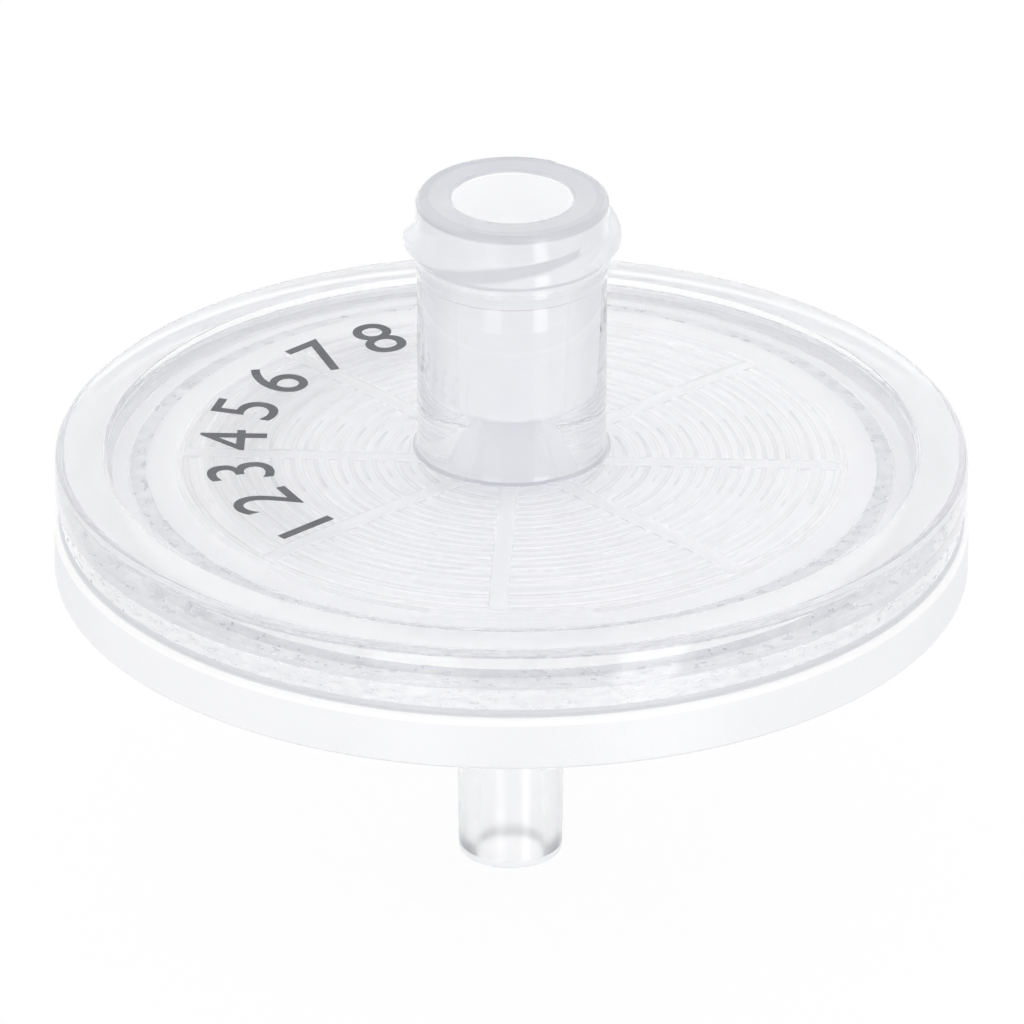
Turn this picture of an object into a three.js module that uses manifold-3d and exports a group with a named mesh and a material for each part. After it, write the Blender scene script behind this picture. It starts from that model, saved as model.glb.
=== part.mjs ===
// Syringe filter, 33 mm class: a clear inlet moulding with a luer-lock socket, a frosted outlet moulding
// with a slip outlet, and the filter membrane clamped between them. Millimetres, +Z up, the origin is the
// centre of the outlet tip. Everything is turned about Z apart from the thread and the radial channels.
import * as THREE from 'three';
import { mergeVertices } from 'three/addons/utils/BufferGeometryUtils.js';
import Module from 'manifold-3d';

const wasm = await Module();
wasm.setup();

// Heights, stacked upwards from the outlet tip.
const outletLength = 11.6; // outlet tip to the underside of the rim
const rimHeight = 2.0; // rim of the outlet housing
const seamGap = 0.3; // open seam between the two housings, seen from outside
const wallHeight = 2.34; // side wall of the inlet housing, seam to rim ring
const neckLength = 10.0; // rim ring to the mouth of the socket

// Disc.
const discRadius = 16.5; // inlet housing at its widest
const rimProud = 0.04; // how far the outlet rim stands out past the inlet wall
const weldBandHeight = 0.83; // rough lower band of the inlet wall
const weldBandInset = 0.17;
const weldBandSlope = 0.05; // height of the slope from that band out to the smooth wall
const ringWidth = 1.75; // flat ring round the top of the disc, edge rounding included
const ringEdge = 0.4; // rounding at the outer edge of that ring, across
const ringEdgeDrop = 0.19; // and down
const ringStep = 0.25; // step down from the ring into the shallow groove
const ringStepSlope = 0.12; // how far that step leans inwards
const grooveWidth = 1.45; // shallow groove inside the ring
const grooveRise = 1.2; // width of the slope from the groove up to the plateau
const crownRise = 0.16; // plateau above the ring
const plateThickness = 1.5; // disc plate between the plateau and the rib roots

// Tongue of the inlet housing in its groove in the outlet housing.
const tongueInset = 0.85; // from the widest edge to the tongue's outside
const tongueWidth = 1.0;
const tongueDepth = 1.15; // below the foot of the inlet wall
const tongueClearance = 0.1;

// Membrane and the clamp round its edge.
const fit = 0.05; // clearance between faces that are pressed or welded together
const weldGap = 0.88; // from the tongue to the weld foot
const weldFootWidth = 0.75; // weld foot just outside the membrane
const membraneMargin = 0.12; // from the weld foot to the edge of the membrane
const membraneThickness = 0.2;
const clampWidth = 1.0; // ring that presses on the edge of the membrane

// Ribs on the membrane side of the disc, and the channels that cross them.
const ribPitch = 0.847;
const ribWidth = 0.42;
const ribHeight = 0.5;
const ribMargin = 0.25; // from the outermost rib to the clamp ring
const ribHubMargin = 0.18; // from the neck's outside to the innermost rib
const channelCount = 8;
const channelWidth = 0.45;
const channelExtra = 0.08; // how much deeper than the gaps between the ribs
const channelInset = 0.95; // from the port's flare to the start of a channel
const channelTurn = -1.2; // degrees that the channels are turned from the X and Y axes
const overshoot = 1.0; // how far a channel's cutter runs past the face that it cuts

// Neck and luer-lock socket.
const socketRadius = 2.15; // at the mouth
const socketTaper = 0.03; // radius lost for each millimetre of depth
const socketChamfer = 0.13;
const neckWall = 1.27; // from the socket's mouth to the outside of the neck
const neckFillet = 0.28;
const collarStep = 0.06; // how far the collar stands out past the neck
const collarStepHeight = 0.03;
const collarLength = 2.92; // parting step to the mouth
const mouthEdge = 0.4; // rounding of the mouth's outer edge
const portLength = 3.04; // socket floor to the chamber's roof
const portRadius = 0.85; // hole in the socket's floor
const portWaistRadius = 1.15; // halfway down the port
const portFlareRadius = 1.7; // where the port opens into the chamber

// Lock thread, right-handed.
const threadStarts = 2;
const threadLead = 5.0;
const threadHeight = 0.46; // crest past the collar
const threadRooting = 0.3; // depth past the neck's outside that the ridges are carried on to
const threadMargin = 0.15; // how far the room for the thread reaches past the ridges, in and out
const threadLength = 2.12; // mouth to the lower root of the thread
const threadLand = 0.68; // width of the crest
const threadUpperFlank = 0.46; // height of the flank that faces the mouth
const threadLowerFlank = 0.95; // height of the flank that carries the lock
const threadTopTrim = 0.3; // below the mouth, where the cut under the mouth meets the collar
const threadTopSlope = 0.87; // slope of that cut
const threadCeiling = 0.12; // from the mouth down to the top of the ridges inside the wall
const threadEntry = -153; // degrees from -Y where a start leaves the lower root
const threadMiddle = -90; // degrees from -Y where the crest's upper edge is at threadMiddleDrop
const threadMiddleDrop = 1.51; // below the mouth
const threadStop = 42; // degrees from -Y where the crest stops with a step
const threadStopWidth = 1; // degrees that the step takes
const threadRunOut = 86; // degrees from -Y where the low run-out after the step ends
const threadRunOutHeight = 0.14; // run-out past the collar, next to the step

// Outlet.
const outletTipRadius = 1.88;
const outletTaper = 0.0166; // radius gained for each millimetre from the tip
const outletTipEdge = 0.14; // rounding of the tip's outer edge, and half of it inside
const outletBoreRadius = 0.88;
const bossLength = 3.2; // underside of the rim down to the slip cone
const bossStep = 1.08; // how far the boss stands out past the slip cone
const bossEdge = 0.3;
const bossFillet = 0.6;
const supportDepth = 0.45; // drain grooves in the support face
const supportPitch = 1.7;
const supportGroove = 0.8; // width of a drain groove
const funnelRadius = 2.2;
const funnelDepth = 0.9; // below the drain grooves
const baseThickness = 1.3; // outlet plate under the drain grooves
const skirtWidth = 2.3; // solid rim beside the hollow underside
const skirtSlope = 0.3; // how far the hollow's wall leans inwards
const rimEdge = 0.22; // rounding of the rim's upper outer edge
const rimFootEdge = 0.12; // and of its lower edge

const turnSteps = 40; // flats round a full turn

// Levels that follow from the stack.
const rimBottom = outletLength;
const rimTop = rimBottom + rimHeight;
const seamTop = rimTop + seamGap;
const ringTop = seamTop + wallHeight;
const mouth = ringTop + neckLength;
const plateau = ringTop + crownRise;
const ribRoot = plateau - plateThickness;
const ribFoot = ribRoot - ribHeight;
const membraneTop = ribFoot - fit;
const membraneBottom = membraneTop - membraneThickness;
const seat = membraneBottom - fit; // support face of the outlet housing
const weldFoot = membraneBottom;
const tongueFoot = seamTop - tongueDepth;

// Radii that follow.
const neckRadius = socketRadius + neckWall;
const collarRadius = neckRadius + collarStep;
const threadRadius = collarRadius + threadHeight;
const ringInner = discRadius - ringWidth;
const tongueOuter = discRadius - tongueInset;
const tongueInner = tongueOuter - tongueWidth;
const footOuter = tongueInner - weldGap;
const footInner = footOuter - weldFootWidth;
const membraneRadius = footInner - membraneMargin;
const clampRadius = membraneRadius - clampWidth;
const outermostRib = clampRadius - ribMargin - ribWidth / 2;
const innermostRib = neckRadius + ribHubMargin + ribWidth / 2;
const ribCount = Math.floor((outermostRib - innermostRib) / ribPitch) + 1;
const rimRadius = discRadius + rimProud;

// Points of a quarter round in place of a sharp corner, from one side of the corner to the other.
function round(from, to, corner, steps = 3) {
  const points = [];
  for (let i = 0; i <= steps; i++) {
    const angle = (i / steps) * (Math.PI / 2);
    const alongFrom = 1 - Math.sin(angle);
    const alongTo = 1 - Math.cos(angle);
    points.push([
      corner[0] + (from[0] - corner[0]) * alongFrom + (to[0] - corner[0]) * alongTo,
      corner[1] + (from[1] - corner[1]) * alongFrom + (to[1] - corner[1]) * alongTo,
    ]);
  }
  return points;
}

// A closed outline of [radius, height] points turned about Z.
function turned(outline) {
  const closed = [...outline, outline[0]].map(([radius, height]) => new THREE.Vector2(radius, height));
  const geometry = new THREE.LatheGeometry(closed, turnSteps);
  geometry.rotateX(Math.PI / 2);
  return toSolid(geometry);
}

// A closed surface swept through cross-sections with the same number of points.
function swept(sections) {
  const count = sections[0].length;
  const corners = [];
  const face = (a, b, c) => corners.push(...a, ...b, ...c);
  for (let i = 0; i + 1 < sections.length; i++) {
    for (let j = 0; j < count; j++) {
      const k = (j + 1) % count;
      face(sections[i][j], sections[i + 1][k], sections[i][k]);
      face(sections[i][j], sections[i + 1][j], sections[i + 1][k]);
    }
  }
  const first = sections[0];
  const last = sections[sections.length - 1];
  for (let j = 1; j + 1 < count; j++) {
    face(first[0], first[j], first[j + 1]);
    face(last[0], last[j + 1], last[j]);
  }
  const geometry = new THREE.BufferGeometry();
  geometry.setAttribute('position', new THREE.Float32BufferAttribute(corners, 3));
  return toSolid(geometry);
}

function toSolid(geometry) {
  const bare = geometry.clone();
  bare.deleteAttribute('normal');
  bare.deleteAttribute('uv');
  const merged = mergeVertices(bare, 1e-5);
  return new wasm.Manifold(new wasm.Mesh({
    numProp: 3,
    vertProperties: new Float32Array(merged.attributes.position.array),
    triVerts: new Uint32Array(merged.index.array),
  }));
}

function toGeometry(solid) {
  const mesh = solid.getMesh();
  const geometry = new THREE.BufferGeometry();
  geometry.setAttribute('position', new THREE.BufferAttribute(new Float32Array(mesh.vertProperties), 3));
  geometry.setIndex(new THREE.BufferAttribute(new Uint32Array(mesh.triVerts), 1));
  geometry.computeVertexNormals();
  return geometry;
}

function joined(solids) {
  return solids.reduce((all, one) => all.add(one));
}

// Radial bars between two radii and two heights, one for each channel.
function channelCutters(fromRadius, toRadius, bottom, top) {
  const bars = [];
  for (let i = 0; i < channelCount; i++) {
    const bar = new THREE.BoxGeometry(toRadius - fromRadius, channelWidth, top - bottom);
    bar.translate((fromRadius + toRadius) / 2, 0, (bottom + top) / 2);
    bar.rotateZ((i / channelCount) * 2 * Math.PI + THREE.MathUtils.degToRad(channelTurn));
    bars.push(toSolid(bar));
  }
  return joined(bars);
}

// One start of the thread: a trapezoid ridge that climbs round the neck, stops with a step and runs out low.
function threadStart(turn) {
  const rootRadius = neckRadius - threadRooting;
  const runOutRadius = collarRadius + threadRunOutHeight;
  const stations = [];
  for (let angle = threadEntry; angle < threadStop - threadStopWidth; angle += 360 / turnSteps) {
    stations.push([angle, threadRadius]);
  }
  stations.push([threadStop, threadRadius], [threadStop + threadStopWidth, runOutRadius]);
  stations.push([threadRunOut, (runOutRadius + collarRadius) / 2]);
  const sections = stations.map(([angle, crest]) => {
    const azimuth = THREE.MathUtils.degToRad(angle + turn - 90);
    const top = mouth - threadMiddleDrop + ((angle - threadMiddle) / 360) * threadLead;
    const reach = (crest - rootRadius) / (crest - collarRadius); // flanks carried on into the wall
    const outline = [
      [rootRadius, top + threadUpperFlank * reach],
      [rootRadius, top - threadLand - threadLowerFlank * reach],
      [crest, top - threadLand],
      [crest, top],
    ];
    return outline.map(([r, height]) => [r * Math.cos(azimuth), r * Math.sin(azimuth), height]);
  });
  return swept(sections);
}

// The room that the thread may fill: a conical lower root and a cut-back under the mouth.
function threadRoom() {
  const root = mouth - threadLength;
  const trim = mouth - threadTopTrim;
  const ceiling = mouth - threadCeiling;
  const inside = neckRadius - threadRooting - threadMargin;
  const outside = threadRadius + threadMargin;
  return turned([
    [inside, root - (collarRadius - inside)],
    [outside, root + (outside - collarRadius)],
    [outside, trim - (outside - collarRadius) * threadTopSlope],
    [collarRadius - (ceiling - trim) / threadTopSlope, ceiling],
    [inside, ceiling],
  ]);
}

function inletHousing() {
  const socketFloor = ribRoot + portLength;
  const floorRadius = socketRadius - socketTaper * (mouth - socketFloor);
  const collarFoot = mouth - collarLength;
  const bandTop = seamTop + weldBandHeight;
  const outline = [[portFlareRadius, ribRoot]];
  // ribs, from the port outwards
  for (let i = ribCount - 1; i >= 0; i--) {
    const inner = outermostRib - i * ribPitch - ribWidth / 2;
    const outer = inner + ribWidth;
    outline.push([inner, ribRoot], [inner, ribFoot], [outer, ribFoot], [outer, ribRoot]);
  }
  outline.push(
    // clamp ring, weld foot and tongue
    [clampRadius, ribRoot], [clampRadius, ribFoot],
    [footInner, ribFoot], [footInner, weldFoot], [footOuter, weldFoot],
    [footOuter + fit, seamTop], [tongueInner, seamTop],
    [tongueInner, tongueFoot], [tongueOuter, tongueFoot], [tongueOuter, seamTop],
    // side wall
    [discRadius - weldBandInset, seamTop], [discRadius - weldBandInset, bandTop],
    [discRadius, bandTop + weldBandSlope],
    ...round([discRadius, ringTop - ringEdgeDrop], [discRadius - ringEdge, ringTop], [discRadius, ringTop]),
    // top of the disc
    [ringInner, ringTop], [ringInner - ringStepSlope, ringTop - ringStep],
    [ringInner - grooveWidth, ringTop - ringStep],
    [ringInner - grooveWidth - grooveRise, plateau],
    ...round([neckRadius + neckFillet, plateau], [neckRadius, plateau + neckFillet],
      [neckRadius, plateau], 2),
    // neck, collar and mouth
    [neckRadius, collarFoot], [collarRadius, collarFoot + collarStepHeight],
    ...round([collarRadius, mouth - mouthEdge], [collarRadius - mouthEdge, mouth], [collarRadius, mouth]),
    [socketRadius + socketChamfer, mouth],
    [socketRadius, mouth - socketChamfer],
    // socket and port
    [floorRadius, socketFloor], [portRadius, socketFloor],
    [portWaistRadius, (socketFloor + ribRoot) / 2],
  );
  const threads = [];
  for (let i = 0; i < threadStarts; i++) threads.push(threadStart((i * 360) / threadStarts));
  const channels = channelCutters(portFlareRadius + channelInset, clampRadius - ribMargin / 2,
    ribFoot - overshoot, ribRoot + channelExtra);
  return turned(outline).add(joined(threads).intersect(threadRoom())).subtract(channels);
}

function membrane() {
  return turned([
    [0, membraneBottom], [membraneRadius, membraneBottom],
    [membraneRadius, membraneTop], [0, membraneTop],
  ]);
}

function outletHousing() {
  const slipLength = outletLength - bossLength;
  const drainFloor = seat - supportDepth;
  const underside = drainFloor - baseThickness;
  const grooveOuter = tongueOuter + tongueClearance;
  const grooveInner = tongueInner - tongueClearance;
  const grooveFloor = tongueFoot - tongueClearance;
  const skirtInner = rimRadius - skirtWidth;
  const coneRadius = (height) => outletTipRadius + outletTaper * height;
  const tipRadius = coneRadius(0);
  const bossRadius = coneRadius(slipLength) + bossStep;
  const outline = [
    // outlet tip, slip cone and boss, outside
    [outletBoreRadius + outletTipEdge / 2, 0],
    ...round([tipRadius - outletTipEdge, 0], [coneRadius(outletTipEdge), outletTipEdge], [tipRadius, 0], 2),
    [coneRadius(slipLength), slipLength],
    ...round([bossRadius - bossEdge, slipLength], [bossRadius, slipLength + bossEdge],
      [bossRadius, slipLength], 2),
    ...round([bossRadius, underside - bossFillet], [bossRadius + bossFillet, underside],
      [bossRadius, underside], 2),
    // hollow underside and rim
    [skirtInner - skirtSlope, underside], [skirtInner, rimBottom],
    ...round([rimRadius - rimFootEdge, rimBottom], [rimRadius, rimBottom + rimFootEdge],
      [rimRadius, rimBottom], 2),
    ...round([rimRadius, rimTop - rimEdge], [rimRadius - rimEdge, rimTop], [rimRadius, rimTop], 2),
    // groove for the tongue, then the land that carries the weld foot and the membrane
    [grooveOuter, rimTop], [grooveOuter, grooveFloor], [grooveInner, grooveFloor],
    [grooveInner, seamTop - fit], [footOuter + fit, seamTop - fit], [footOuter, seat],
  ];
  // drain grooves, from the clamp inwards, then the funnel down to the bore
  const outermost = clampRadius - ribMargin;
  for (let r = outermost; r - supportGroove * 2 > funnelRadius; r -= supportPitch) {
    outline.push([r, seat], [r, drainFloor], [r - supportGroove, drainFloor], [r - supportGroove, seat]);
  }
  outline.push(
    [funnelRadius, seat],
    [outletBoreRadius, drainFloor - funnelDepth],
    [outletBoreRadius, outletTipEdge / 2],
  );
  const channels = channelCutters(outletBoreRadius, outermost - supportGroove / 2,
    drainFloor - channelExtra, seat + overshoot);
  return turned(outline).subtract(channels);
}

function piece(name, solid, material) {
  const mesh = new THREE.Mesh(toGeometry(solid), new THREE.MeshStandardMaterial(material));
  mesh.name = name;
  return mesh;
}

const filter = new THREE.Group();
filter.add(piece('inlet_housing', inletHousing(),
  { color: '#eef0f5', roughness: 0.08, metalness: 0, transparent: true, opacity: 0.35 }));
filter.add(piece('membrane', membrane(), { color: '#f7f7f8', roughness: 0.8, metalness: 0 }));
filter.add(piece('outlet_housing', outletHousing(),
  { color: '#f3f4f8', roughness: 0.3, metalness: 0, transparent: true, opacity: 0.8 }));

export default filter;
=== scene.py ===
import math

import bmesh
import bpy
import numpy as np
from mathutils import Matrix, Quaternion, Vector


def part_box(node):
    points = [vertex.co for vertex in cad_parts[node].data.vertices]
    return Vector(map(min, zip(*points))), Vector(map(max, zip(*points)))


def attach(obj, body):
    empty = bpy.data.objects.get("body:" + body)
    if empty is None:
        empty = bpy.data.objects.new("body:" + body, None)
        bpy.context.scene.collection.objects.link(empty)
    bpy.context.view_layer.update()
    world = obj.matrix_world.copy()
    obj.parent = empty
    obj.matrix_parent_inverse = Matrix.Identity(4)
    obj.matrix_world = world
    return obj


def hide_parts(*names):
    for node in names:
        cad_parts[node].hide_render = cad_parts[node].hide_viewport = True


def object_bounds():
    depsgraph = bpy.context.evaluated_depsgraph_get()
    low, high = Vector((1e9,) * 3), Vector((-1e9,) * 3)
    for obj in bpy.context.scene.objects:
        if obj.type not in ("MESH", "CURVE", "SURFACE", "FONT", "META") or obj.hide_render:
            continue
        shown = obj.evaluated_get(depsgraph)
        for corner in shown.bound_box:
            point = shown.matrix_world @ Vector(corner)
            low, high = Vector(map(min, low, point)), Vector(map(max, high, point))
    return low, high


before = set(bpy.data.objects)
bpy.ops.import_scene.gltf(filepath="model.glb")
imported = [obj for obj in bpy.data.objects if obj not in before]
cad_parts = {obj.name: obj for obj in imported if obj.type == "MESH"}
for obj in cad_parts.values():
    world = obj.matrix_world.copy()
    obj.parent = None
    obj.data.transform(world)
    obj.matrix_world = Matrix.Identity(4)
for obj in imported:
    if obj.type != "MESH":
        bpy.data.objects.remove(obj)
cadLow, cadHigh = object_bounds()
inletLow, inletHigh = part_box("inlet_housing")
outletLow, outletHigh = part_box("outlet_housing")
membraneLow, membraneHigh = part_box("membrane")
mm = 0.001
print("frame loaded, overall", [round(v, 5) for v in cadHigh - cadLow])


# small helpers

def deselectAll():
    if bpy.context.mode != "OBJECT":
        bpy.ops.object.mode_set(mode="OBJECT")
    bpy.ops.object.select_all(action="DESELECT")


def activate(obj):
    deselectAll()
    bpy.context.view_layer.objects.active = obj
    obj.select_set(True)


def edit(obj):
    activate(obj)
    bpy.ops.object.mode_set(mode="EDIT")


def done():
    bpy.ops.object.mode_set(mode="OBJECT")


def pickVerts(obj, test):
    bpy.ops.mesh.select_mode(type="VERT")
    mesh = bmesh.from_edit_mesh(obj.data)
    for v in mesh.verts:
        v.select = test(v.co)
    mesh.select_flush_mode()
    bmesh.update_edit_mesh(obj.data)


def pickFaces(obj, test):
    bpy.ops.mesh.select_mode(type="FACE")
    mesh = bmesh.from_edit_mesh(obj.data)
    for f in mesh.faces:
        f.select = test(f.calc_center_median(), f.normal)
    mesh.select_flush_mode()
    bmesh.update_edit_mesh(obj.data)


def applyModifier(obj, kind, **settings):
    activate(obj)
    modifier = obj.modifiers.new(kind.title(), kind)
    for name, value in settings.items():
        setattr(modifier, name, value)
    bpy.ops.object.modifier_apply(modifier=modifier.name)


def smooth(obj, degrees=32):
    activate(obj)
    bpy.ops.object.shade_smooth_by_angle(angle=math.radians(degrees))


def flatNormals(obj):
    # large faces keep their own normal, and the small roundings between them take up the turn
    applyModifier(obj, "WEIGHTED_NORMAL", keep_sharp=True, weight=100)


def roundedOutline(corners, stepDegrees):
    # corners are (radius, height) or (radius, height, rounding) in mm; rounded ones become arcs
    points = []
    count = len(corners)
    for i, corner in enumerate(corners):
        here = Vector(corner[:2])
        if len(corner) == 2:
            points.append(here)
            continue
        back = (Vector(corners[i - 1][:2]) - here).normalized()
        ahead = (Vector(corners[(i + 1) % count][:2]) - here).normalized()
        opening = back.angle(ahead)
        reach = corner[2] / math.tan(opening / 2)
        middle = here + (back + ahead).normalized() * corner[2] / math.sin(opening / 2)
        start, end = here + back * reach - middle, here + ahead * reach - middle
        turn = math.pi - opening
        steps = max(2, math.ceil(math.degrees(turn) / stepDegrees))
        sense = 1 if start.x * end.y - start.y * end.x > 0 else -1
        for k in range(steps + 1):
            a = sense * turn * k / steps
            points.append(middle + Vector((start.x * math.cos(a) - start.y * math.sin(a),
                                           start.x * math.sin(a) + start.y * math.cos(a))))
    return points


def turnedPiece(name, corners, steps, stepDegrees=32):
    # the outline is drawn by extruding one vertex from corner to corner, then spun round Z
    points = [Vector((p.x, 0, p.y)) * mm for p in roundedOutline(corners, stepDegrees)]
    bpy.ops.object.select_all(action="DESELECT")
    bpy.ops.mesh.primitive_plane_add(size=mm)
    obj = bpy.context.object
    obj.name = obj.data.name = name
    bpy.ops.object.mode_set(mode="EDIT")
    bpy.ops.mesh.select_mode(type="VERT")
    bpy.ops.mesh.select_all(action="SELECT")
    bpy.ops.mesh.merge(type="CENTER")
    bpy.ops.transform.translate(value=points[0])
    for a, b in zip(points, points[1:] + points[:1]):
        bpy.ops.mesh.extrude_region_move(TRANSFORM_OT_translate={"value": b - a})
    bpy.ops.mesh.select_all(action="SELECT")
    bpy.ops.mesh.remove_doubles(threshold=1e-7)
    bpy.ops.mesh.spin(steps=steps, angle=2 * math.pi, center=(0, 0, 0), axis=(0, 0, 1))
    bpy.ops.mesh.select_all(action="SELECT")
    bpy.ops.mesh.remove_doubles(threshold=1e-7)
    bpy.ops.mesh.normals_make_consistent(inside=False)
    done()
    return obj


def readVerts(obj):
    co = np.empty(len(obj.data.vertices) * 3)
    obj.data.vertices.foreach_get("co", co)
    return co.reshape(-1, 3)


def writeVerts(obj, co):
    obj.data.vertices.foreach_set("co", co.ravel())
    obj.data.update()


# camera

camera = {"azimuth": 0, "elevation": 26.07, "distance": 601.8, "lens": 585.8, "roll": 0.166,
          "aim": (0.02, 0, -2.19), "depth": 10.19}  # aim in mm, from a point this depth below the mouth


def addCamera():
    data = bpy.data.cameras.new("camera")
    obj = bpy.data.objects.new("camera", data)
    bpy.context.scene.collection.objects.link(obj)
    data.lens = camera["lens"]
    data.sensor_width = 36
    data.clip_start, data.clip_end = 0.01, 10
    a, e = math.radians(camera["azimuth"]), math.radians(camera["elevation"])
    back = Vector((math.sin(a) * math.cos(e), -math.cos(a) * math.cos(e), math.sin(e)))
    centre = Vector((0, 0, inletHigh.z - camera["depth"] * mm))
    up = Vector((-math.sin(a) * math.sin(e), math.cos(a) * math.sin(e), math.cos(e)))
    obj.location = centre + back * camera["distance"] * mm
    aim = centre + up * camera["aim"][2] * mm + Vector((camera["aim"][0] * mm, 0, 0))
    look = (aim - obj.location).to_track_quat("-Z", "Y")
    obj.rotation_mode = "QUATERNION"
    obj.rotation_quaternion = look @ Quaternion((0, 0, 1), math.radians(camera["roll"]))
    bpy.context.scene.camera = obj


addCamera()

# inlet housing: disc, ribs, tongue, neck and socket in one clear moulding

inlet = {
    "steps": 240, "neckLength": 10.05, "crownRise": 0.16, "plate": 1.5, "ribHeight": 0.5,
    "ringWidth": 1.75, "ringStep": 0.22, "ringEdge": 0.32, "groove": 1.2, "grooveRise": 1.9,
    "bandHeight": 0.83, "bandInset": 0.17, "wallHeight": 2.34,
    "tongueInset": 0.85, "tongueWidth": 1.0, "ribPitch": 0.847, "ribWidth": 0.42, "ribs": 11, "ribDrop": 0.17,
    "ribSlope": 0.08, "ribFootEdge": 0.1, "ribEdge": 0.12,
    "outerRib": 11.44, "clamp": 1.0, "margin": 0.12, "footWidth": 0.75, "fit": 0.05, "air": 0.02,
    "channels": 8, "channelWidth": 0.72, "channelExtra": 0.03, "channelStart": 1.2, "channelTurn": -2.3,
    "channelEdge": 0.09, "channelEnd": 0.12,
    "neck": 3.42, "neckFillet": 0.28, "collar": 3.48, "collarLength": 2.92,
    "mouthEdge": 0.45, "mouthDrop": 0.22, "lipSteps": 12,
    "socket": 2.15, "socketTaper": 0.03, "socketChamfer": 0.13, "portLength": 3.5,
    "port": 0.75, "portWaist": 1.3, "portFlare": 1.64, "rows": 76, "hold": 0.12,
}
thread = {
    "starts": 2, "lead": 5.0, "height": 0.46, "length": 2.12, "land": 0.68, "upperFlank": 0.46,
    "lowerFlank": 0.95, "topTrim": 0.22, "topSlope": 1.5, "entry": -162, "entryLength": 24,
    "stop": 38, "stopWidth": 7,
    "runOut": 92, "runOutHeight": 0.14, "middle": -90, "middleDrop": 1.51, "crestBlend": 0.07,
    "rootBlend": 0.09, "shelf": 0.12, "shelfTop": 1.0, "shelfSlope": 0.16,
    "margin": 0.25, "sunk": 0.2,
}


def towards(a, b, distance):
    # a point on the line from a to b, which keeps the long face beyond it from taking up a rounding's turn
    start, end = Vector(a), Vector(b)
    return tuple(start + (end - start).normalized() * distance)


def inletOutline():
    s = inlet
    disc, mouth = inletHigh.x / mm, inletHigh.z / mm
    ring = mouth - s["neckLength"]
    seam = ring - s["wallHeight"]
    top = ring + s["crownRise"]
    root = top - s["plate"]
    clampFoot = membraneHigh.z / mm + s["air"]
    edge = disc - s["ringWidth"]
    tongue = disc - s["tongueInset"]
    tongueIn = tongue - s["tongueWidth"]
    membraneEdge = membraneHigh.x / mm
    clamp = membraneEdge - s["clamp"]
    footIn = membraneEdge + s["margin"]
    footOut = footIn + s["footWidth"]
    weldFoot = outletHigh.z / mm + s["air"]
    floor = root + s["portLength"]
    floorRadius = s["socket"] - s["socketTaper"] * (mouth - floor)
    collarFoot = mouth - s["collarLength"]
    corners = [(s["portFlare"], root, 0.1)]
    for i in range(s["ribs"] - 1, -1, -1):
        inner = s["outerRib"] - i * s["ribPitch"] - s["ribWidth"] / 2
        outer = inner + s["ribWidth"]
        low = root - s["ribDrop"]
        slope, foot, crest = s["ribSlope"], s["ribFootEdge"], s["ribEdge"]
        corners += [(inner - slope, root, foot), (inner + slope, low, crest), (outer - slope, low, crest),
                    (outer + slope, root, foot)]
    band = disc - s["bandInset"]
    corners += [
        (clamp, root, 0.06), (clamp, clampFoot, 0.08), (footIn, clampFoot),
        (footIn, weldFoot), (footOut, weldFoot),
        (footOut + s["fit"], seam, 0.1), (tongueIn, seam, 0.1), (tongueIn, inletLow.z / mm, 0.1),
        (tongue, inletLow.z / mm, 0.1), (tongue, seam, 0.08),
        (band, seam, 0.05),
    ]
    bandTop = seam + s["bandHeight"]
    corners += [(band, seam + 0.08 + (s["bandHeight"] - 0.12) * k / 9) for k in range(10)]
    corners += [
        (band + 0.02, bandTop), (disc, bandTop + 0.06, 0.03),
        (disc, ring, s["ringEdge"]),
        (edge, ring, 0.1), (edge - 0.12, ring - s["ringStep"], 0.12),
        (edge - s["groove"], ring - s["ringStep"], 3),
        (edge - s["groove"] - s["grooveRise"], top, 4),
        (s["neck"], top, s["neckFillet"]), (s["neck"], top + s["neckFillet"] + s["hold"]),
        (s["neck"], collarFoot - s["hold"]), (s["neck"], collarFoot), (s["collar"], collarFoot + 0.03, 0.015),
    ]
    low = mouth - thread["length"] - thread["margin"]
    high = mouth - s["mouthDrop"]
    corners += [(s["collar"], low + (high - low) * k / s["rows"]) for k in range(s["rows"])]
    for k in range(s["lipSteps"] + 1):
        a = math.radians(k * 90 / s["lipSteps"])
        corners.append((s["collar"] - s["mouthEdge"] * (1 - math.cos(a)), high + s["mouthDrop"] * math.sin(a)))
    lipCorner, floorCorner = (s["socket"], mouth - s["socketChamfer"]), (floorRadius, floor)
    corners += [
        (s["socket"] + s["socketChamfer"], mouth, 0.06), (*lipCorner, 0.1),
        towards(lipCorner, floorCorner, 0.1 + s["hold"]), towards(floorCorner, lipCorner, 0.2 + s["hold"]),
        (*floorCorner, 0.2), (s["port"], floor, 0.08),
        (s["portWaist"], (floor + root) / 2, 0.8),
    ]
    return corners


def smoothMax(a, b, width):
    h = np.clip(0.5 + 0.5 * (a - b) / width, 0, 1)
    return b + (a - b) * h + width * h * (1 - h)


def smoothMin(a, b, width):
    return -smoothMax(-a, -b, width)


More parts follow.
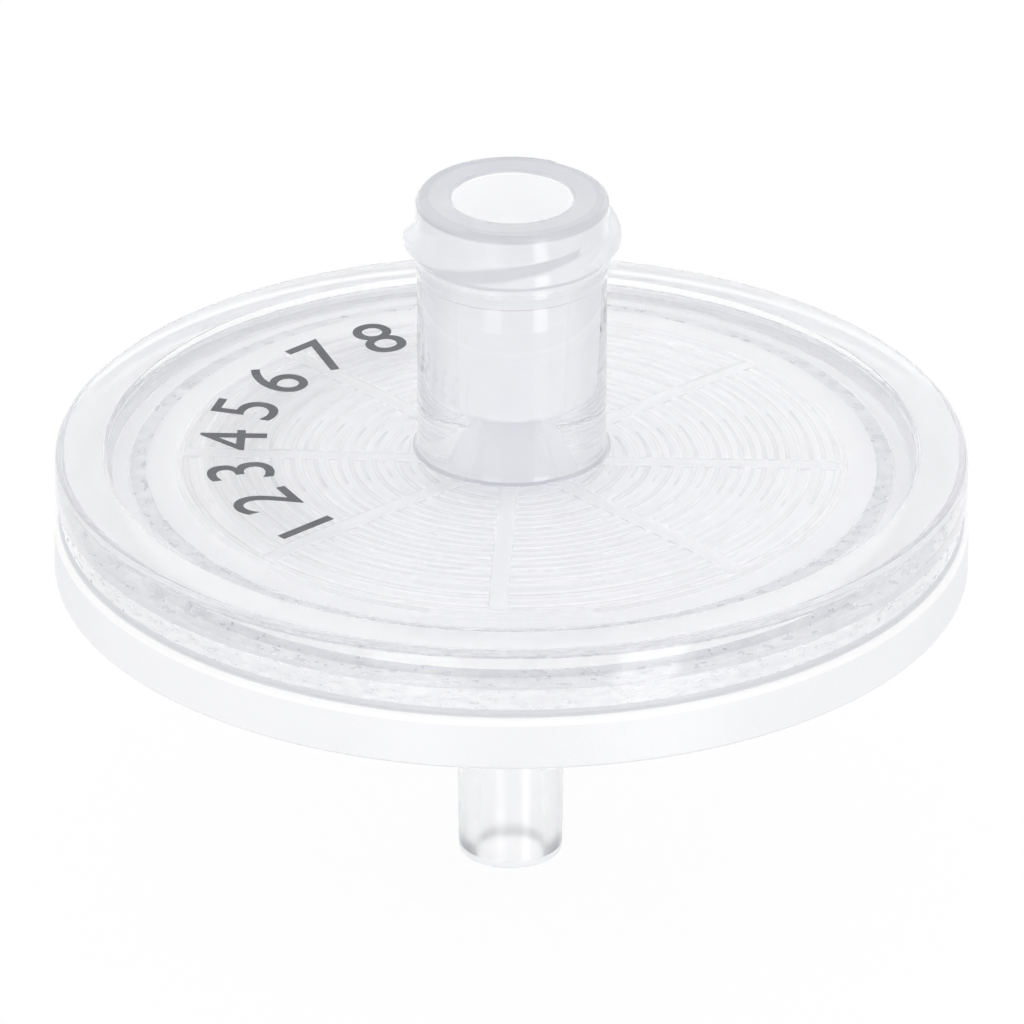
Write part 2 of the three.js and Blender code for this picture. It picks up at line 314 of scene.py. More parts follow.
def raiseThread(obj):
    # each start is a ridge whose crest climbs with the lead; vertices of the collar move out to meet it
    s, t = inlet, thread
    co = readVerts(obj) / mm
    mouth = inletHigh.z / mm
    radius = np.hypot(co[:, 0], co[:, 1])
    picked = (co[:, 2] > mouth - t["length"] - 0.3) & (radius > s["collar"] - s["mouthEdge"] - 0.001)
    r, z = radius[picked], co[picked, 2]
    angle = np.degrees(np.arctan2(co[picked, 0], -co[picked, 1]))
    shelf = smoothMin(z - (mouth - t["length"]), t["shelf"], t["crestBlend"])
    shelf = smoothMin(shelf, (mouth - t["shelfTop"] - z) * t["shelfSlope"], t["crestBlend"])
    raised = np.where(z < mouth - s["mouthDrop"], smoothMax(r, s["collar"] + shelf, t["crestBlend"]), r)
    for start in range(t["starts"]):
        turn = (angle - start * 360 / t["starts"] + 180) % 360 - 180
        for lap in (0, -360):
            phi = turn + lap
            top = mouth - t["middleDrop"] + (phi - t["middle"]) / 360 * t["lead"]
            upper = t["height"] * (1 - (z - top) / t["upperFlank"])
            lower = t["height"] * (1 - (top - t["land"] - z) / t["lowerFlank"])
            ridge = smoothMin(smoothMin(upper, lower, t["crestBlend"]), t["height"], t["crestBlend"])
            cone = z - (mouth - t["length"])
            cut = (mouth - t["topTrim"] - z) / t["topSlope"]
            stop = np.clip((phi - t["stop"]) / t["stopWidth"], 0, 1)
            stop = stop * stop * (3 - 2 * stop)
            fade = np.clip((t["runOut"] - phi) / (t["runOut"] - t["stop"]), 0, 1)
            low = smoothMin(ridge, (t["runOutHeight"] + t["sunk"]) * fade - t["sunk"], t["crestBlend"])
            ridge = ridge * (1 - stop) + low * stop
            ridge = smoothMin(smoothMin(ridge, cone, t["crestBlend"]), cut, t["crestBlend"])
            lead = np.clip((phi - t["entry"]) / t["entryLength"], 0, 1)
            ridge = (ridge + t["sunk"]) * lead * lead * (3 - 2 * lead) - t["sunk"]
            ridge = np.where((phi > t["entry"]) & (phi < t["runOut"]), ridge, -1)
            met = smoothMax(raised, s["collar"] + ridge, t["rootBlend"])
            raised = np.where(ridge > -t["sunk"], met, raised)
    grow = raised / r
    co[picked, 0] *= grow
    co[picked, 1] *= grow
    writeVerts(obj, co * mm)


def cutChannels(obj):
    # one bar with softened upper edges is modelled, copied round and taken away from the ribs
    s = inlet
    root = inletHigh.z / mm - s["neckLength"] + s["crownRise"] - s["plate"]
    low, high = root - s["ribHeight"] - 1, root + s["channelExtra"]
    start, end = s["channelStart"], membraneHigh.x / mm - s["clamp"] - s["channelEnd"]
    deselectAll()
    bpy.ops.mesh.primitive_cube_add(size=mm)
    bar = bpy.context.object
    bar.name = "channelBar"
    bpy.ops.object.mode_set(mode="EDIT")
    bpy.ops.mesh.select_all(action="SELECT")
    bpy.ops.transform.resize(value=(end - start, s["channelWidth"], high - low))
    bpy.ops.transform.translate(value=((start + end) / 2 * mm, 0, (high + low) / 2 * mm))
    pickVerts(bar, lambda co: co.z > root * mm)
    bpy.ops.mesh.bevel(offset=s["channelEdge"] * mm, segments=3, affect="EDGES")
    bpy.ops.mesh.select_all(action="SELECT")
    bpy.ops.transform.rotate(value=-math.radians(s["channelTurn"]), orient_axis="Z", center_override=(0, 0, 0))
    for _ in range(1, s["channels"]):
        bpy.ops.mesh.duplicate()
        bpy.ops.transform.rotate(value=math.tau / s["channels"], orient_axis="Z", center_override=(0, 0, 0))
    done()
    applyModifier(obj, "BOOLEAN", operation="DIFFERENCE", object=bar, solver="MANIFOLD")
    bpy.data.objects.remove(bar)


def makeInlet():
    obj = turnedPiece("inletMoulding", inletOutline(), inlet["steps"])
    raiseThread(obj)
    cutChannels(obj)
    smooth(obj)
    return obj


inletMoulding = makeInlet()
print("inlet moulding", len(inletMoulding.data.polygons), "faces")

# membrane: a flat, thin white disc

def makeMembrane():
    radius = membraneHigh.x
    bpy.ops.object.select_all(action="DESELECT")
    bpy.ops.mesh.primitive_cylinder_add(vertices=192, radius=radius, depth=membraneHigh.z - membraneLow.z,
                                        location=(0, 0, (membraneHigh.z + membraneLow.z) / 2))
    obj = bpy.context.object
    obj.name = obj.data.name = "filterMembrane"
    bpy.ops.object.transform_apply(location=True, rotation=False, scale=False)
    edit(obj)
    pickFaces(obj, lambda centre, normal: abs(normal.z) > 0.9)
    for share in (0.08, 0.25, 0.5):
        bpy.ops.mesh.inset(thickness=radius * share * 0.6)
    done()
    smooth(obj)
    return obj


filterMembrane = makeMembrane()
print("membrane", len(filterMembrane.data.polygons), "faces")

# outlet housing: frosted base plate, rim and slip outlet

outlet = {
    "steps": 240, "rimHeight": 2.0, "tipRadius": 1.88, "taper": 0.0166, "tipEdge": 0.14, "tipBand": 0.32,
    "bore": 0.88, "tipBore": 1.25,
    "slipLength": 8.4, "bossStep": 1.08, "bossEdge": 0.3, "bossFillet": 0.6, "rimBottom": 11.6,
    "drainDepth": 0.45, "drainPitch": 1.7, "drainWidth": 0.8, "funnel": 2.2, "funnelDepth": 0.9,
    "base": 1.3, "skirt": 2.3, "rimEdge": 0.2, "rimFoot": 0.12, "overlap": -0.02, "lip": 0.36,
}


def outletOutline():
    s, i = outlet, inlet
    rim = outletHigh.x / mm
    rimTop = s["rimBottom"] + s["rimHeight"]
    disc, seat = inletHigh.x / mm, outletHigh.z / mm
    seam = inletHigh.z / mm - i["neckLength"] - i["wallHeight"]
    tongueOut = disc - i["tongueInset"] - s["overlap"]
    tongueIn = disc - i["tongueInset"] - i["tongueWidth"] + s["overlap"]
    grooveFloor = inletLow.z / mm + s["overlap"]
    membraneEdge = membraneHigh.x / mm
    footOut = membraneEdge + i["margin"] + i["footWidth"]
    drain = seat - s["drainDepth"]
    under = drain - s["base"]
    skirt = rim - s["skirt"]
    slip = s["tipRadius"] + s["taper"] * s["slipLength"]
    boss = slip + s["bossStep"]
    corners = [
        (s["tipBore"] + 0.07, 0, 0.05), (s["tipRadius"], 0, s["tipEdge"]),
        (s["tipRadius"] + s["taper"] * s["tipBand"], s["tipBand"]), (slip, s["slipLength"], 0.08),
        (boss, s["slipLength"], s["bossEdge"]), (boss, under, s["bossFillet"]),
        (skirt - 0.3, under, 0.2), (skirt, s["rimBottom"], 0.1),
        (rim, s["rimBottom"], s["rimFoot"]), (rim, rimTop, s["rimEdge"]),
        (rim - s["lip"], rimTop, 0.06), (rim - s["lip"], seam + s["overlap"], 0.03),
        (tongueOut, seam + s["overlap"], 0.08), (tongueOut, grooveFloor, 0.1), (tongueIn, grooveFloor, 0.1),
        (tongueIn, seam + s["overlap"], 0.08), (footOut + i["fit"], seam + s["overlap"], 0.05),
        (footOut - s["overlap"], seat, 0.05),
    ]
    r = membraneEdge - i["clamp"] - 0.25
    while r - s["drainWidth"] * 2 > s["funnel"]:
        inner = r - s["drainWidth"]
        corners += [(r, seat, 0.08), (r, drain, 0.1), (inner, drain, 0.1), (inner, seat, 0.08)]
        r -= s["drainPitch"]
    corners += [(s["funnel"], seat, 0.1), (s["bore"], drain - s["funnelDepth"], 0.3), (s["tipBore"], 0.07)]
    return corners


def makeOutlet():
    obj = turnedPiece("outletMoulding", outletOutline(), outlet["steps"])
    smooth(obj)
    flatNormals(obj)
    return obj


outletMoulding = makeOutlet()
print("outlet moulding", len(outletMoulding.data.polygons), "faces")

# numerals: plain numbers printed in an arc on the plate, left of the neck

numerals = {"text": "12345678", "size": 3.5, "radius": 8.85, "from": 223, "to": 119,
            "ink": 0.02, "sunk": 0.004}


def makeNumerals():
    s = numerals
    top = inletHigh.z / mm - inlet["neckLength"] + inlet["crownRise"]
    digits = []
    for k, digit in enumerate(s["text"]):
        angle = s["from"] + (s["to"] - s["from"]) * k / (len(s["text"]) - 1)
        deselectAll()
        bpy.ops.object.text_add()
        obj = bpy.context.object
        obj.data.body = digit
        obj.data.align_x = "CENTER"
        obj.data.resolution_u = 8
        obj.data.extrude = s["ink"] / s["size"] / 2
        bpy.ops.object.convert(target="MESH")
        obj.scale = (s["size"] * mm,) * 3
        obj.rotation_euler.z = math.radians(angle - 90)
        obj.location = (s["radius"] * mm * math.cos(math.radians(angle)),
                        s["radius"] * mm * math.sin(math.radians(angle)),
                        (top - s["sunk"] + s["ink"] / 2) * mm)
        bpy.ops.object.transform_apply(location=True, rotation=True, scale=True)
        digits.append(obj)
    deselectAll()
    for obj in digits:
        obj.select_set(True)
    bpy.context.view_layer.objects.active = digits[0]
    bpy.ops.object.join()
    obj = bpy.context.object
    obj.name = obj.data.name = "printedNumerals"
    edit(obj)
    bpy.ops.mesh.select_mode(type="VERT")
    bpy.ops.mesh.select_all(action="SELECT")
    bpy.ops.mesh.remove_doubles(threshold=1e-7)
    bpy.ops.mesh.normals_make_consistent(inside=False)
    done()
    return obj


printedNumerals = makeNumerals()
print("numerals", len(printedNumerals.data.polygons), "faces")

# node groups shared by the materials

def newGroup(name, inputs, outputs):
    group = bpy.data.node_groups.new(name, "ShaderNodeTree")
    for socket, value in inputs.items():
        kind = "NodeSocketVector" if value is None else "NodeSocketFloat"
        item = group.interface.new_socket(socket, in_out="INPUT", socket_type=kind)
        if value is not None:
            item.default_value = value
    for socket in outputs:
        group.interface.new_socket(socket, in_out="OUTPUT", socket_type="NodeSocketFloat")
    nodes = group.nodes
    return group, nodes, group.links, nodes.new("NodeGroupInput"), nodes.new("NodeGroupOutput")


def plug(links, socket, value):
    # a number is set on the socket, a socket is linked to it
    if isinstance(value, (int, float)):
        socket.default_value = value
    else:
        links.new(value, socket)


def maths(nodes, links, operation, a, b=0.0):
    node = nodes.new("ShaderNodeMath")
    node.operation = operation
    plug(links, node.inputs[0], a)
    plug(links, node.inputs[1], b)
    return node.outputs[0]


def rampUp(nodes, links, value, start, end):
    node = nodes.new("ShaderNodeMapRange")
    node.interpolation_type = "SMOOTHSTEP"
    plug(links, node.inputs["Value"], value)
    plug(links, node.inputs["From Min"], start)
    plug(links, node.inputs["From Max"], end)
    return node.outputs["Result"]


def makeRingBand():
    # one between two radii and two heights, falling softly to nothing outside them
    group, nodes, links, given, result = newGroup(
        "ringBand", {"Vector": None, "Inner": 0.0, "Outer": 1.0, "Low": 0.0, "High": 1.0, "Softness": 0.0001},
        ["Mask"])
    split = nodes.new("ShaderNodeSeparateXYZ")
    links.new(given.outputs["Vector"], split.inputs[0])
    flat = nodes.new("ShaderNodeCombineXYZ")
    links.new(split.outputs["X"], flat.inputs["X"])
    links.new(split.outputs["Y"], flat.inputs["Y"])
    length = nodes.new("ShaderNodeVectorMath")
    length.operation = "LENGTH"
    links.new(flat.outputs[0], length.inputs[0])
    soft = given.outputs["Softness"]
    sides = []
    for value, low, high in ((length.outputs["Value"], "Inner", "Outer"), (split.outputs["Z"], "Low", "High")):
        under = maths(nodes, links, "SUBTRACT", given.outputs[low], soft)
        over = maths(nodes, links, "ADD", given.outputs[high], soft)
        sides.append(rampUp(nodes, links, value, under, given.outputs[low]))
        sides.append(rampUp(nodes, links, value, over, given.outputs[high]))
    mask = maths(nodes, links, "MULTIPLY", maths(nodes, links, "MULTIPLY", sides[0], sides[1]),
                 maths(nodes, links, "MULTIPLY", sides[2], sides[3]))
    links.new(mask, result.inputs["Mask"])
    return group


def makeGrain():
    # fine moulded grain with a slower cloud over it, both from nought to one
    group, nodes, links, given, result = newGroup(
        "mouldGrain", {"Vector": None, "Grain Size": 0.0002, "Cloud Size": 0.004}, ["Grain", "Cloud"])
    for name, detail in (("Grain", 3.0), ("Cloud", 2.0)):
        noise = nodes.new("ShaderNodeTexNoise")
        noise.inputs["Detail"].default_value = detail
        links.new(given.outputs["Vector"], noise.inputs["Vector"])
        links.new(maths(nodes, links, "DIVIDE", 1.0, given.outputs[name + " Size"]), noise.inputs["Scale"])
        links.new(rampUp(nodes, links, noise.outputs["Fac"], 0.3, 0.7), result.inputs[name])
    return group


ringBand = makeRingBand()
mouldGrain = makeGrain()

# materials

def newMaterial(name):
    material = bpy.data.materials.new(name)
    material.use_nodes = True
    nodes, links = material.node_tree.nodes, material.node_tree.links
    nodes.clear()
    output = nodes.new("ShaderNodeOutputMaterial")
    shader = nodes.new("ShaderNodeBsdfPrincipled")
    links.new(shader.outputs["BSDF"], output.inputs["Surface"])
    coords = nodes.new("ShaderNodeTexCoord")
    return material, nodes, links, shader, coords.outputs["Object"]


def place(nodes, links, group, vector, **values):
    node = nodes.new("ShaderNodeGroup")
    node.node_tree = group
    links.new(vector, node.inputs["Vector"])
    for name, value in values.items():
        plug(links, node.inputs[name.replace("_", " ")], value)
    return node


def band(nodes, links, vector, limits, softness=0.05):
    # limits are inner and outer radius, low and high, in mm
    names = ("Inner", "Outer", "Low", "High")
    node = place(nodes, links, ringBand, vector, Softness=softness * mm,
                 **{name: value * mm for name, value in zip(names, limits)})
    return node.outputs["Mask"]


def blendColour(nodes, links, amount, below, above):
    node = nodes.new("ShaderNodeMix")
    node.data_type = "RGBA"
    plug(links, node.inputs[0], amount)
    for socket, colour in ((node.inputs[6], below), (node.inputs[7], above)):
        if isinstance(colour, tuple):
            socket.default_value = (*colour, 1)
        else:
            links.new(colour, socket)
    return node.outputs[2]


def bump(nodes, links, height, distance, shader, strength=1.0):
    node = nodes.new("ShaderNodeBump")
    node.inputs["Distance"].default_value = distance
    node.inputs["Strength"].default_value = strength
    links.new(height, node.inputs["Height"])
    links.new(node.outputs["Normal"], shader.inputs["Normal"])


clear = {
    "tint": (0.995, 0.995, 0.998), "neckTint": (0.9, 0.906, 0.925), "flankTint": (0.76, 0.77, 0.8),
    "footShadeTint": (0.6, 0.61, 0.65), "partingTint": (0.6, 0.53, 0.55), "edgeShadeTint": (0.94, 0.943, 0.955),
    "ior": 1.5, "gloss": 0.0, "smudge": 0.02, "smudgeSize": 0.006,
}


def clearPlastic():
    material, nodes, links, shader, vector = newMaterial("clearPlastic")
    s, i = clear, inlet
    mouth = inletHigh.z / mm
    top = mouth - i["neckLength"] + i["crownRise"]
    parting = mouth - i["collarLength"]
    cloud = nodes.new("ShaderNodeTexNoise")
    cloud.inputs["Scale"].default_value = 1 / s["smudgeSize"]
    cloud.inputs["Detail"].default_value = 0
    links.new(vector, cloud.inputs["Vector"])
    neck = band(nodes, links, vector, (0, i["collar"] + 1, top + 0.3, mouth + 1), 0.3)
    line = band(nodes, links, vector,
                (i["neck"] - 0.1, i["collar"] + 0.1, parting - 0.02, parting + 0.03), 0.012)
    rough = maths(nodes, links, "MULTIPLY_ADD", cloud.outputs["Fac"], s["smudge"])
    rough.node.inputs[2].default_value = s["gloss"]
    links.new(rough, shader.inputs["Roughness"])
    # the wall of the neck is seen edge on at its flanks, where more plastic lies in the way; the darker tint
    # there is painted shade
    layer = nodes.new("ShaderNodeLayerWeight")
    layer.inputs["Blend"].default_value = 0.5
    flank = blendColour(nodes, links, rampUp(nodes, links, layer.outputs["Facing"], 0.25, 0.5), s["neckTint"],
                        s["flankTint"])
    tint = blendColour(nodes, links, neck, s["tint"], flank)
    tint = blendColour(nodes, links, line, tint, s["partingTint"])
    # painted shade: a dark line round the foot of the neck, where it meets the plate
    foot = band(nodes, links, vector, (i["neck"] - 0.1, i["neck"] + 0.14, top + 0.03, top + 0.12), 0.03)
    tint = blendColour(nodes, links, foot, tint, s["footShadeTint"])
    # painted shade: a slightly darker line along the ring's top, just inside its outer rounding
    disc, ring = inletHigh.x / mm, mouth - i["neckLength"]
    edge = band(nodes, links, vector, (disc - 0.46, disc - 0.22, ring - 0.26, ring + 1), 0.07)
    tint = blendColour(nodes, links, edge, tint, s["edgeShadeTint"])
    links.new(tint, shader.inputs["Base Color"])
    shader.inputs["IOR"].default_value = s["ior"]
    shader.inputs["Transmission Weight"].default_value = 1
    return material


def hazyPlastic(name, s):
    # plastic with a matt skin: part of the light goes through, the rest is scattered back
    material, nodes, links, shader, vector = newMaterial(name)
    flat = nodes.new("ShaderNodeVectorMath")
    flat.operation = "MULTIPLY"
    flat.inputs[1].default_value = (1, 1, s.get("stretch", 1))
    links.new(vector, flat.inputs[0])
    grain = place(nodes, links, mouldGrain, flat.outputs[0], Grain_Size=s["grain"], Cloud_Size=s["cloud"])
    tint = blendColour(nodes, links, grain.outputs["Cloud"], s["tint"], s["cloudTint"])
    if "flake" in s:
        colour, start, end = s["flake"]
        tint = blendColour(nodes, links, rampUp(nodes, links, grain.outputs["Grain"], start, end), tint, colour)
    if "leanShade" in s:
        # painted shade: faces leaning down and faces leaning up are darkened by amounts of their own
        split = nodes.new("ShaderNodeSeparateXYZ")
        links.new(next(n for n in nodes if n.type == "TEX_COORD").outputs["Normal"], split.inputs[0])
        for colour, start, end in s["leanShade"]:
            tint = blendColour(nodes, links, rampUp(nodes, links, split.outputs["Z"], start, end), tint, colour)
    # painted shade: the tint darkens towards the sides that are seen edge on
    if "flank" in s:
        colour, start, end = s["flank"]
        layer = nodes.new("ShaderNodeLayerWeight")
        layer.inputs["Blend"].default_value = 0.5
        facing = rampUp(nodes, links, layer.outputs["Facing"], start, end)
        tint = blendColour(nodes, links, facing, tint, colour)
    # painted shade and painted highlights, each in a band given by radius and height
    for limits, colour in s.get("shadeAndHighlightBands", ()):
        tint = blendColour(nodes, links, band(nodes, links, vector, limits, s.get("soft", 0.04)), tint, colour)
    links.new(tint, shader.inputs["Base Color"])
    rough = maths(nodes, links, "MULTIPLY_ADD", grain.outputs["Grain"], s["grainRough"])
    rough.node.inputs[2].default_value = s["rough"]
    links.new(rough, shader.inputs["Roughness"])
    if s["depth"]:
        bump(nodes, links, grain.outputs["Grain"], s["depth"] * mm, shader)
    shader.inputs["IOR"].default_value = clear["ior"]
    shader.inputs["Specular IOR Level"].default_value = s.get("sheen", 0.5)
    shader.inputs["Transmission Weight"].default_value = s["through"]
    return material


mouthTop = inletHigh.z / mm
plateRoot = mouthTop - inlet["neckLength"] + inlet["crownRise"] - inlet["plate"]
# the ceiling of the chamber with its ribs, and the hidden faces of the tongue
mist = {"tint": (0.995, 0.995, 1), "cloudTint": (0.985, 0.985, 0.992), "rough": 0.28, "grainRough": 0.05,
        "grain": 0.0004, "cloud": 0.005, "depth": 0, "through": 0.25, "sheen": 0}
# the socket and the port below it, with painted shade in the port
socket = {"tint": (1, 1, 1), "cloudTint": (0.99, 0.99, 0.996), "rough": 0.3, "grainRough": 0.05,
          "grain": 0.0004, "cloud": 0.004, "depth": 0, "through": 0.12, "sheen": 0,
          "shadeAndHighlightBands": (((0, 1.8, 0, plateRoot + inlet["portLength"] - 0.1), (0.895, 0.9, 0.918)),)}
# the collar with its thread, and the flat face of the mouth; painted shade darkens faces leaning down, faces
# leaning up a little, the mouth's flat face and its outer rounding
collar = {"tint": (0.905, 0.912, 0.932), "cloudTint": (0.89, 0.898, 0.92), "rough": 0.04, "grainRough": 0.02,
          "grain": 0.0004, "cloud": 0.004, "depth": 0, "through": 0.5, "soft": 0.1,
          "leanShade": (((0.88, 0.887, 0.908), 0.12, 0.4), ((0.74, 0.748, 0.778), -0.1, -0.4)),
          "shadeAndHighlightBands": (((0, 4, mouthTop - 0.02, mouthTop + 1), (0.72, 0.727, 0.755)),
                    ((inlet["collar"] - inlet["mouthEdge"] + 0.03, 4,
                      mouthTop - inlet["mouthDrop"], mouthTop + 1), (0.66, 0.668, 0.7)))}
# clear plastic that has been melted and frozen again
weld = {"tint": (0.895, 0.899, 0.917), "cloudTint": (0.855, 0.86, 0.88), "rough": 0.26, "grainRough": 0.08,
        "grain": 0.0006, "cloud": 0.003, "depth": 0.0002, "through": 0.3, "stretch": 2.5,
        "flake": ((0.96, 0.962, 0.97), 0.5, 1.0)}
# the flat top of the ring, a little duller than the plate
veil = {"tint": (0.985, 0.986, 0.995), "cloudTint": (0.965, 0.967, 0.98), "rough": 0.05, "grainRough": 0.03,
        "grain": 0.0005, "cloud": 0.006, "depth": 0, "through": 0.6}


sheet = {"tint": (0.945, 0.948, 0.965), "grainTint": (0.965, 0.967, 0.98), "rough": 0.75,
         "grain": 0.00012, "cloud": 0.003, "depth": 0.00001}


def membraneWhite():
    material, nodes, links, shader, vector = newMaterial("membraneWhite")
    grain = place(nodes, links, mouldGrain, vector, Grain_Size=sheet["grain"], Cloud_Size=sheet["cloud"])
    colour = blendColour(nodes, links, grain.outputs["Grain"], sheet["tint"], sheet["grainTint"])
    links.new(colour, shader.inputs["Base Color"])
    shader.inputs["Roughness"].default_value = sheet["rough"]
    bump(nodes, links, grain.outputs["Grain"], sheet["depth"], shader)
    return material


rimTop = outlet["rimBottom"] + outlet["rimHeight"]
rimEdge = outletHigh.x / mm
# the frosted outlet housing; painted shade darkens its sides seen edge on, the rim's top face in the gap under
# the inlet, the rim's lower rounding and the foot of the tip, and a painted highlight lights the top of the
# rim's outer wall
frosted = {"tint": (0.925, 0.927, 0.945), "cloudTint": (0.91, 0.913, 0.932), "rough": 0.32, "grainRough": 0.08,
           "grain": 0.00018, "cloud": 0.005, "depth": 0.006, "through": 0.05,
           "flank": ((0.83, 0.834, 0.856), 0.5, 0.95),
           "shadeAndHighlightBands": (((rimEdge - 0.6, rimEdge - 0.13, rimTop - 0.02, rimTop + 0.5), (0.79, 0.797, 0.82)),
                     ((rimEdge - 0.14, rimEdge + 1, rimTop - 0.26, rimTop + 0.05), (1, 1, 1)),
                     ((rimEdge - 0.3, rimEdge + 1, 0, outlet["rimBottom"] + 0.07), (0.8, 0.806, 0.83)),
                     ((0, 3, -1, 0.1), (0.88, 0.885, 0.905)))}
slip = {"tint": (0.994, 0.995, 1), "cloudTint": (0.991, 0.993, 1), "rough": 0.18, "grainRough": 0.06,
        "grain": 0.0003, "cloud": 0.003, "depth": 0, "through": 0.85}


ink = {"tint": (0.115, 0.118, 0.126), "cloudTint": (0.14, 0.143, 0.152), "rough": 0.55,
       "grain": 0.0001, "cloud": 0.001, "depth": 0.000004}


def printInk():
    material, nodes, links, shader, vector = newMaterial("printInk")
    grain = place(nodes, links, mouldGrain, vector, Grain_Size=ink["grain"], Cloud_Size=ink["cloud"])
    colour = blendColour(nodes, links, grain.outputs["Cloud"], ink["tint"], ink["cloudTint"])
    links.new(colour, shader.inputs["Base Color"])
    shader.inputs["Roughness"].default_value = ink["rough"]
    bump(nodes, links, grain.outputs["Grain"], ink["depth"], shader)
    return material


def dress(obj, materials, slot, *replaced):
    obj.data.materials.clear()
    for material in materials:
        obj.data.materials.append(material)
    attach(obj, "root")
    if replaced:
        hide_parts(*replaced)


inletLooks = (("weldPlastic", weld), ("mistPlastic", mist), ("socketPlastic", socket),
              ("collarPlastic", collar), ("veilPlastic", veil))
outletLooks = (("frostedPlastic", frosted), ("slipPlastic", slip))
dress(inletMoulding, [clearPlastic()] + [hazyPlastic(*look) for look in inletLooks],
      "clear_plastic", "inlet_housing")
dress(filterMembrane, [membraneWhite()], "membrane_white", "membrane")
dress(outletMoulding, [hazyPlastic(*look) for look in outletLooks], "frosted_plastic", "outlet_housing")
dress(printedNumerals, [printInk()], "print_ink")


def inletPart(at):
    # 0 clear, 1 the melted band and foot, 2 the underside, 3 the bore, 4 the collar, 5 the ring's flat top
    i = inlet
    r, z = at.xy.length / mm, at.z / mm
    disc, edge, mouth = inletHigh.x / mm, membraneHigh.x / mm + i["margin"], inletHigh.z / mm
    seam = mouth - i["neckLength"] - i["wallHeight"]
    root = mouth - i["neckLength"] + i["crownRise"] - i["plate"]
    side = r > disc - i["bandInset"] - 0.05 and seam + 0.02 < z < seam + i["bandHeight"]
    foot = edge - 0.03 < r < edge + i["footWidth"] * 0.55 and z < membraneHigh.z / mm
    if side or foot:
        return 1
    if z < root + 0.08 and r < disc - 0.3 and r > i["portFlare"] - 0.05:
        return 2
    if r < i["socket"] + 0.09 and z < mouth - 0.06:
        return 3
    if r > disc - i["ringWidth"] - 0.1 and z > mouth - i["neckLength"] - 0.01:
        return 5
    return 4 if z > mouth - thread["length"] - thread["margin"] else 0


def outletPart(at):
    # 1 the tube above its frosted tip, 0 all the rest
    return int(outlet["tipBand"] * mm < at.z < outlet["slipLength"] * mm
               and at.xy.length < (outlet["tipRadius"] + 0.25) * mm)


for obj, part in ((inletMoulding, inletPart), (outletMoulding, outletPart)):
    for face in obj.data.polygons:
        face.material_index = part(face.center)

# floor and world, whose strip lights only reflections show

# gap is how far below the object the floor lies, in mm, and matt the share of it that isn't glow
ground = {"size": 4, "gap": 0.05, "tint": (0.97, 0.97, 0.975, 1), "matt": 0.13}


def addFloor():
    bpy.ops.object.select_all(action="DESELECT")
    bpy.ops.mesh.primitive_plane_add(size=ground["size"], location=(0, 0, cadLow.z - ground["gap"] * mm))
    floor = bpy.context.object
    floor.name = "floor"
    material = bpy.data.materials.new("floorWhite")
    material.use_nodes = True
    nodes, links = material.node_tree.nodes, material.node_tree.links
    nodes.clear()
    output = nodes.new("ShaderNodeOutputMaterial")
    diffuse = nodes.new("ShaderNodeBsdfDiffuse")
    diffuse.inputs["Color"].default_value = ground["tint"]
    glow = nodes.new("ShaderNodeEmission")
    mix = nodes.new("ShaderNodeMixShader")
    mix.inputs[0].default_value = ground["matt"]
    links.new(glow.outputs[0], mix.inputs[1])
    links.new(diffuse.outputs[0], mix.inputs[2])
    links.new(mix.outputs[0], output.inputs["Surface"])
    floor.data.materials.append(material)
    floor.visible_glossy = False  # reflections look past it to the studio strips


studio = {"horizon": 0.25, "zenith": (0.72, 0.73, 0.79), "strips": ((35, 8, 3.0), (-23, 10, 1.4)),
          "flags": (110, 30, 0.35), "light": 1.06}


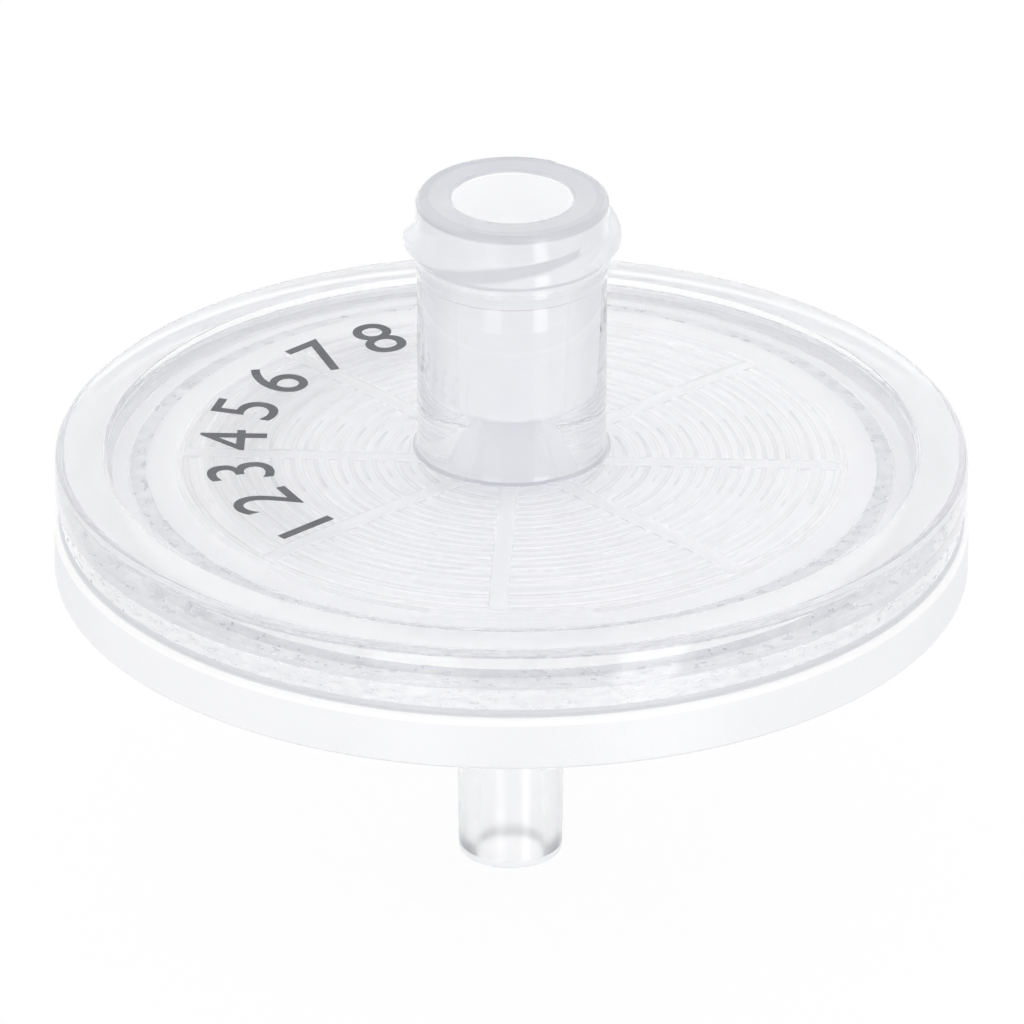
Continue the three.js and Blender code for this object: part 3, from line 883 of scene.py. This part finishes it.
def addWorld():
    world = bpy.data.worlds.new("studio")
    bpy.context.scene.world = world
    world.use_nodes = True
    nodes, links = world.node_tree.nodes, world.node_tree.links
    nodes.clear()
    output = nodes.new("ShaderNodeOutputWorld")
    lighting = nodes.new("ShaderNodeBackground")
    lighting.inputs["Color"].default_value = (1, 1, 1, 1)
    lighting.inputs["Strength"].default_value = studio["light"]
    seen = nodes.new("ShaderNodeBackground")
    path = nodes.new("ShaderNodeLightPath")
    coords = nodes.new("ShaderNodeTexCoord")
    split = nodes.new("ShaderNodeSeparateXYZ")
    links.new(coords.outputs["Generated"], split.inputs[0])
    ramp = nodes.new("ShaderNodeValToRGB")
    links.new(split.outputs["Z"], ramp.inputs[0])
    elements = ramp.color_ramp.elements
    elements[0].position, elements[0].color = studio["horizon"], (1, 1, 1, 1)
    elements[1].position, elements[1].color = 1.0, (*studio["zenith"], 1)
    # upright strip lights to the front, which only reflections show: bearing, half width, strength
    front = maths(nodes, links, "MULTIPLY", split.outputs["Y"], -1.0)
    bearing = maths(nodes, links, "ARCTAN2", split.outputs["X"], front)
    glow = 0.0
    for at, half, strength in studio["strips"]:
        off = maths(nodes, links, "ABSOLUTE", maths(nodes, links, "SUBTRACT", bearing, math.radians(at)))
        lit = rampUp(nodes, links, off, math.radians(half * 1.3), math.radians(half * 0.8))
        glow = maths(nodes, links, "ADD", maths(nodes, links, "MULTIPLY", lit, strength), glow)
    reach = rampUp(nodes, links, maths(nodes, links, "ABSOLUTE", split.outputs["Z"]), 0.8, 0.6)
    glow = maths(nodes, links, "MULTIPLY", glow, reach)
    glow = maths(nodes, links, "MULTIPLY", glow, path.outputs["Is Glossy Ray"])
    # black flags to the left and right draw the edges of the clear parts
    at, half, depth = studio["flags"]
    away = maths(nodes, links, "ABSOLUTE", bearing)
    away = maths(nodes, links, "ABSOLUTE", maths(nodes, links, "SUBTRACT", away, math.radians(at)))
    flag = rampUp(nodes, links, away, math.radians(half * 1.3), math.radians(half * 0.6))
    flag = maths(nodes, links, "MULTIPLY", flag, reach)
    shade = maths(nodes, links, "MULTIPLY_ADD", flag, -depth)
    shade.node.inputs[2].default_value = 1
    dim = nodes.new("ShaderNodeMix")
    dim.data_type, dim.blend_type = "RGBA", "MULTIPLY"
    dim.inputs[0].default_value = 1
    links.new(ramp.outputs["Color"], dim.inputs[6])
    links.new(shade, dim.inputs[7])
    add = nodes.new("ShaderNodeMix")
    add.data_type, add.blend_type = "RGBA", "ADD"
    add.inputs[0].default_value = 1
    links.new(dim.outputs[2], add.inputs[6])
    links.new(glow, add.inputs[7])
    links.new(add.outputs[2], seen.inputs["Color"])
    # paths that have met no matt surface yet see the studio as it looks, all others its light
    fresh = nodes.new("ShaderNodeMath")
    fresh.operation = "LESS_THAN"
    fresh.inputs[1].default_value = 0.5
    links.new(path.outputs["Diffuse Depth"], fresh.inputs[0])
    mix = nodes.new("ShaderNodeMixShader")
    links.new(fresh.outputs[0], mix.inputs[0])
    links.new(lighting.outputs[0], mix.inputs[1])
    links.new(seen.outputs[0], mix.inputs[2])
    # the backdrop itself is plain white
    backdrop = nodes.new("ShaderNodeBackground")
    backdrop.inputs["Color"].default_value = (1, 1, 1, 1)
    plain = nodes.new("ShaderNodeMixShader")
    links.new(path.outputs["Is Camera Ray"], plain.inputs[0])
    links.new(mix.outputs[0], plain.inputs[1])
    links.new(backdrop.outputs[0], plain.inputs[2])
    links.new(plain.outputs[0], output.inputs["Surface"])
    world.cycles.sampling_method = "NONE"


addFloor()
addWorld()
scene = bpy.context.scene
scene.view_settings.view_transform = "Standard"
scene.cycles.blur_glossy = 0
scene.cycles.max_bounces = 48
scene.cycles.transmission_bounces = 48
scene.cycles.glossy_bounces = 48
scene.cycles.diffuse_bounces = 16
scene.cycles.adaptive_threshold = 0.06
